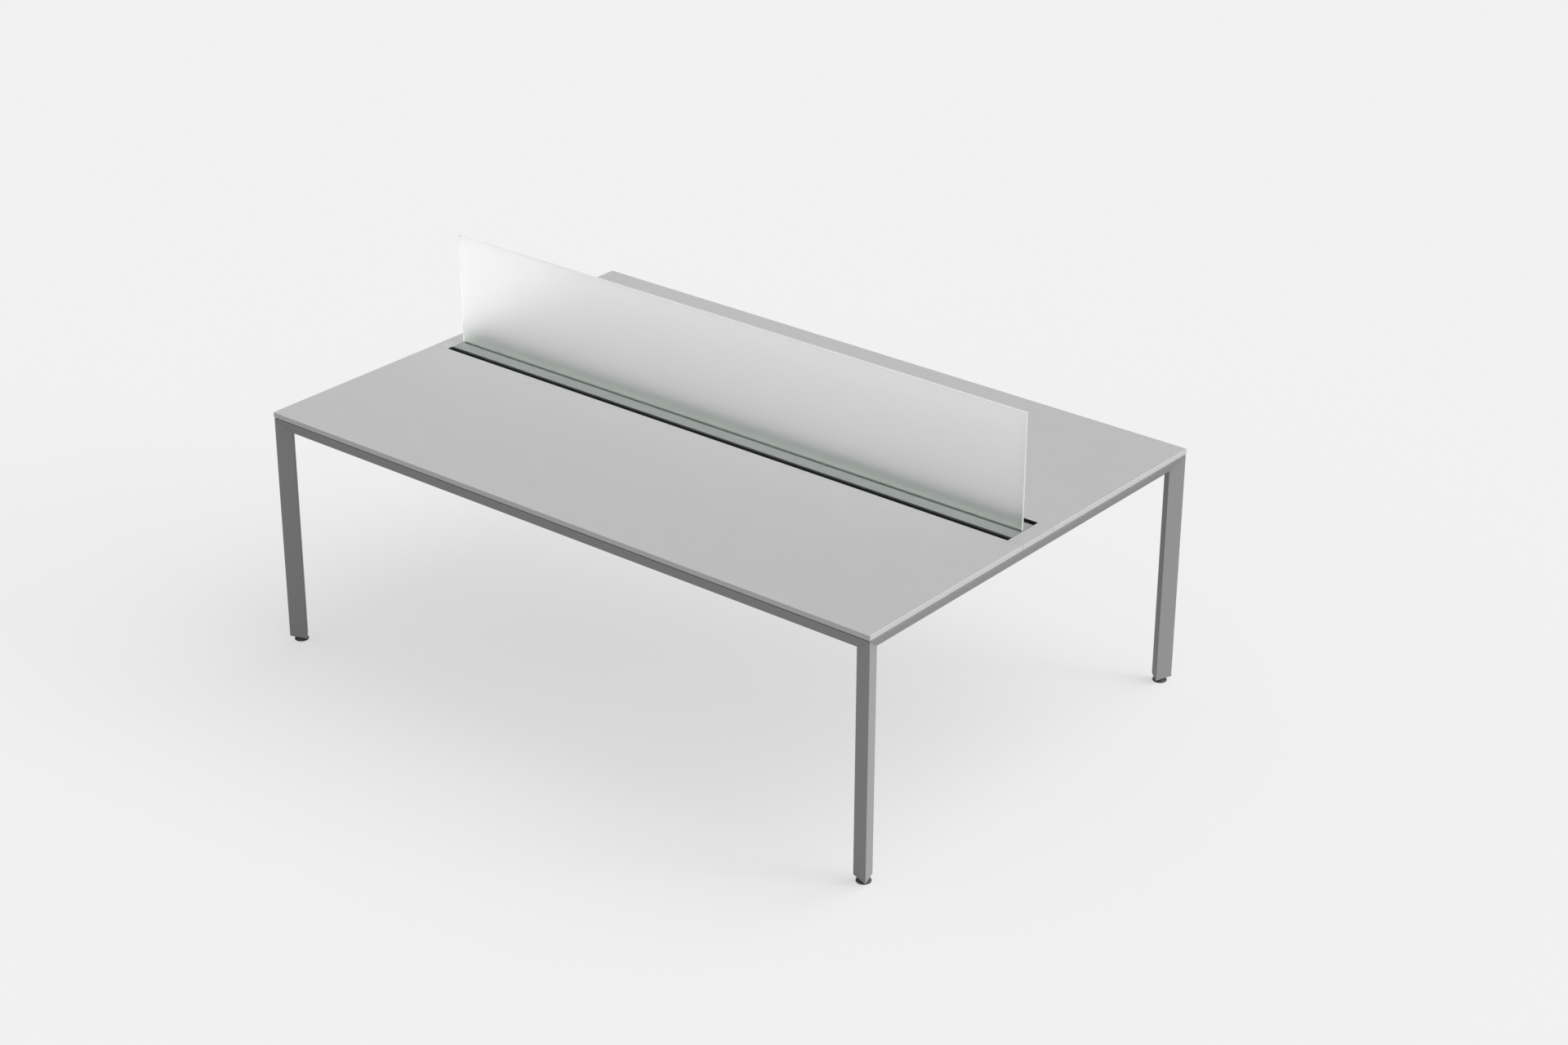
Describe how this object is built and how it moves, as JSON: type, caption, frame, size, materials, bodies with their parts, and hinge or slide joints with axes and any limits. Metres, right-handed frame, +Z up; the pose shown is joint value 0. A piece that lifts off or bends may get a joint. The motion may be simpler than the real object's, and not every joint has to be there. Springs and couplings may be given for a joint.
{
  "type": "bench desk",
  "caption": "Two-person bench desk: facing grey worktops on a mitred steel frame, with cable slots and a frosted glass screen down the middle.",
  "frame": {"origin": "on the floor under the middle of the desk", "axes": "+Z up, +X along the desk's length, +Y across it towards the back worktop"},
  "size_m": [2.2, 1.484, 1.1],
  "materials": {
    "grey_laminate": "matt light grey laminate on particle board",
    "pale_edge_band": "matt light grey edge band",
    "silver_painted_steel": "satin silver grey powder coat",
    "satin_aluminium": "satin anodised",
    "frosted_glass": "frosted, slightly green",
    "black_rubber": "matt",
    "black_plastic": "matt",
    "black_painted_steel": "matt powder coat",
    "zinc_plated_steel": "bright zinc plating"
  },
  "bodies": {
    "frame": {"bar_saddle_left": "black_painted_steel", "bar_saddle_middle": "black_painted_steel", "bar_saddle_right": "black_painted_steel", "beam_end_plate_left": "zinc_plated_steel", "beam_end_plate_right": "zinc_plated_steel", "beam_plate_back_left": "zinc_plated_steel", "beam_plate_back_right": "zinc_plated_steel", "beam_plate_front_left": "zinc_plated_steel", "beam_plate_front_right": "zinc_plated_steel", "cable_tray": "black_painted_steel", "centre_bar": "satin_aluminium", "centre_beam_back": "silver_painted_steel", "centre_beam_front": "silver_painted_steel", "corner_arm_back_left": "silver_painted_steel", "corner_arm_back_right": "silver_painted_steel", "corner_arm_front_left": "silver_painted_steel", "corner_arm_front_right": "silver_painted_steel", "edge_band_back": "pale_edge_band", "edge_band_front": "pale_edge_band", "end_pad_left": "black_rubber", "end_pad_right": "black_rubber", "end_piece_left": "grey_laminate", "end_piece_right": "grey_laminate", "end_rail_left": "silver_painted_steel", "end_rail_right": "silver_painted_steel", "glass_gasket_back": "black_rubber", "glass_gasket_front": "black_rubber", "glass_screen": "frosted_glass", "leg_back_left": "silver_painted_steel", "leg_back_right": "silver_painted_steel", "leg_front_left": "silver_painted_steel", "leg_front_right": "silver_painted_steel", "leg_plug_back_left": "black_plastic", "leg_plug_back_right": "black_plastic", "leg_plug_front_left": "black_plastic", "leg_plug_front_right": "black_plastic", "long_rail_back": "silver_painted_steel", "long_rail_front": "silver_painted_steel", "rail_connector_back_left": "zinc_plated_steel", "rail_connector_back_right": "zinc_plated_steel", "rail_connector_front_left": "zinc_plated_steel", "rail_connector_front_right": "zinc_plated_steel", "rail_plate_back_left": "zinc_plated_steel", "rail_plate_back_right": "zinc_plated_steel", "rail_plate_front_left": "zinc_plated_steel", "rail_plate_front_right": "zinc_plated_steel", "setting_block_left": "black_rubber", "setting_block_right": "black_rubber", "slot_trim_back": "black_plastic", "slot_trim_front": "black_plastic", "worktop_back": "grey_laminate", "worktop_front": "grey_laminate"},
    "foot_screw_front_left": {"foot_stud_front_left": "zinc_plated_steel"},
    "foot_disc_front_left": {"foot_base_front_left": "black_plastic"},
    "foot_screw_front_right": {"foot_stud_front_right": "zinc_plated_steel"},
    "foot_disc_front_right": {"foot_base_front_right": "black_plastic"},
    "foot_screw_back_left": {"foot_stud_back_left": "zinc_plated_steel"},
    "foot_disc_back_left": {"foot_base_back_left": "black_plastic"},
    "foot_screw_back_right": {"foot_stud_back_right": "zinc_plated_steel"},
    "foot_disc_back_right": {"foot_base_back_right": "black_plastic"}
  },
  "joints": [
    {"name": "foot_travel_front_left", "type": "slide", "parent": "frame", "child": "foot_screw_front_left", "axis": [0, 0, -1], "range_m": [-0.003, 0.012]},
    {"name": "foot_turn_front_left", "type": "hinge", "parent": "foot_screw_front_left", "child": "foot_disc_front_left", "pos_m": [-1.074, -0.716, 0], "axis": [0, 0, -1], "range_deg": [-721, 2881]},
    {"name": "foot_travel_front_right", "type": "slide", "parent": "frame", "child": "foot_screw_front_right", "axis": [0, 0, -1], "range_m": [-0.003, 0.012]},
    {"name": "foot_turn_front_right", "type": "hinge", "parent": "foot_screw_front_right", "child": "foot_disc_front_right", "pos_m": [1.074, -0.716, 0], "axis": [0, 0, -1], "range_deg": [-721, 2881]},
    {"name": "foot_travel_back_left", "type": "slide", "parent": "frame", "child": "foot_screw_back_left", "axis": [0, 0, -1], "range_m": [-0.003, 0.012]},
    {"name": "foot_turn_back_left", "type": "hinge", "parent": "foot_screw_back_left", "child": "foot_disc_back_left", "pos_m": [-1.074, 0.716, 0], "axis": [0, 0, -1], "range_deg": [-721, 2881]},
    {"name": "foot_travel_back_right", "type": "slide", "parent": "frame", "child": "foot_screw_back_right", "axis": [0, 0, -1], "range_m": [-0.003, 0.012]},
    {"name": "foot_turn_back_right", "type": "hinge", "parent": "foot_screw_back_right", "child": "foot_disc_back_right", "pos_m": [1.074, 0.716, 0], "axis": [0, 0, -1], "range_deg": [-721, 2881]}
  ],
  "couplings": [
    {"joint": "foot_turn_front_left", "follows": "foot_travel_front_left", "rad_per_m": 4188.8},
    {"joint": "foot_turn_front_right", "follows": "foot_travel_front_right", "rad_per_m": 4188.8},
    {"joint": "foot_turn_back_left", "follows": "foot_travel_back_left", "rad_per_m": 4188.8},
    {"joint": "foot_turn_back_right", "follows": "foot_travel_back_right", "rad_per_m": 4188.8}
  ]
}
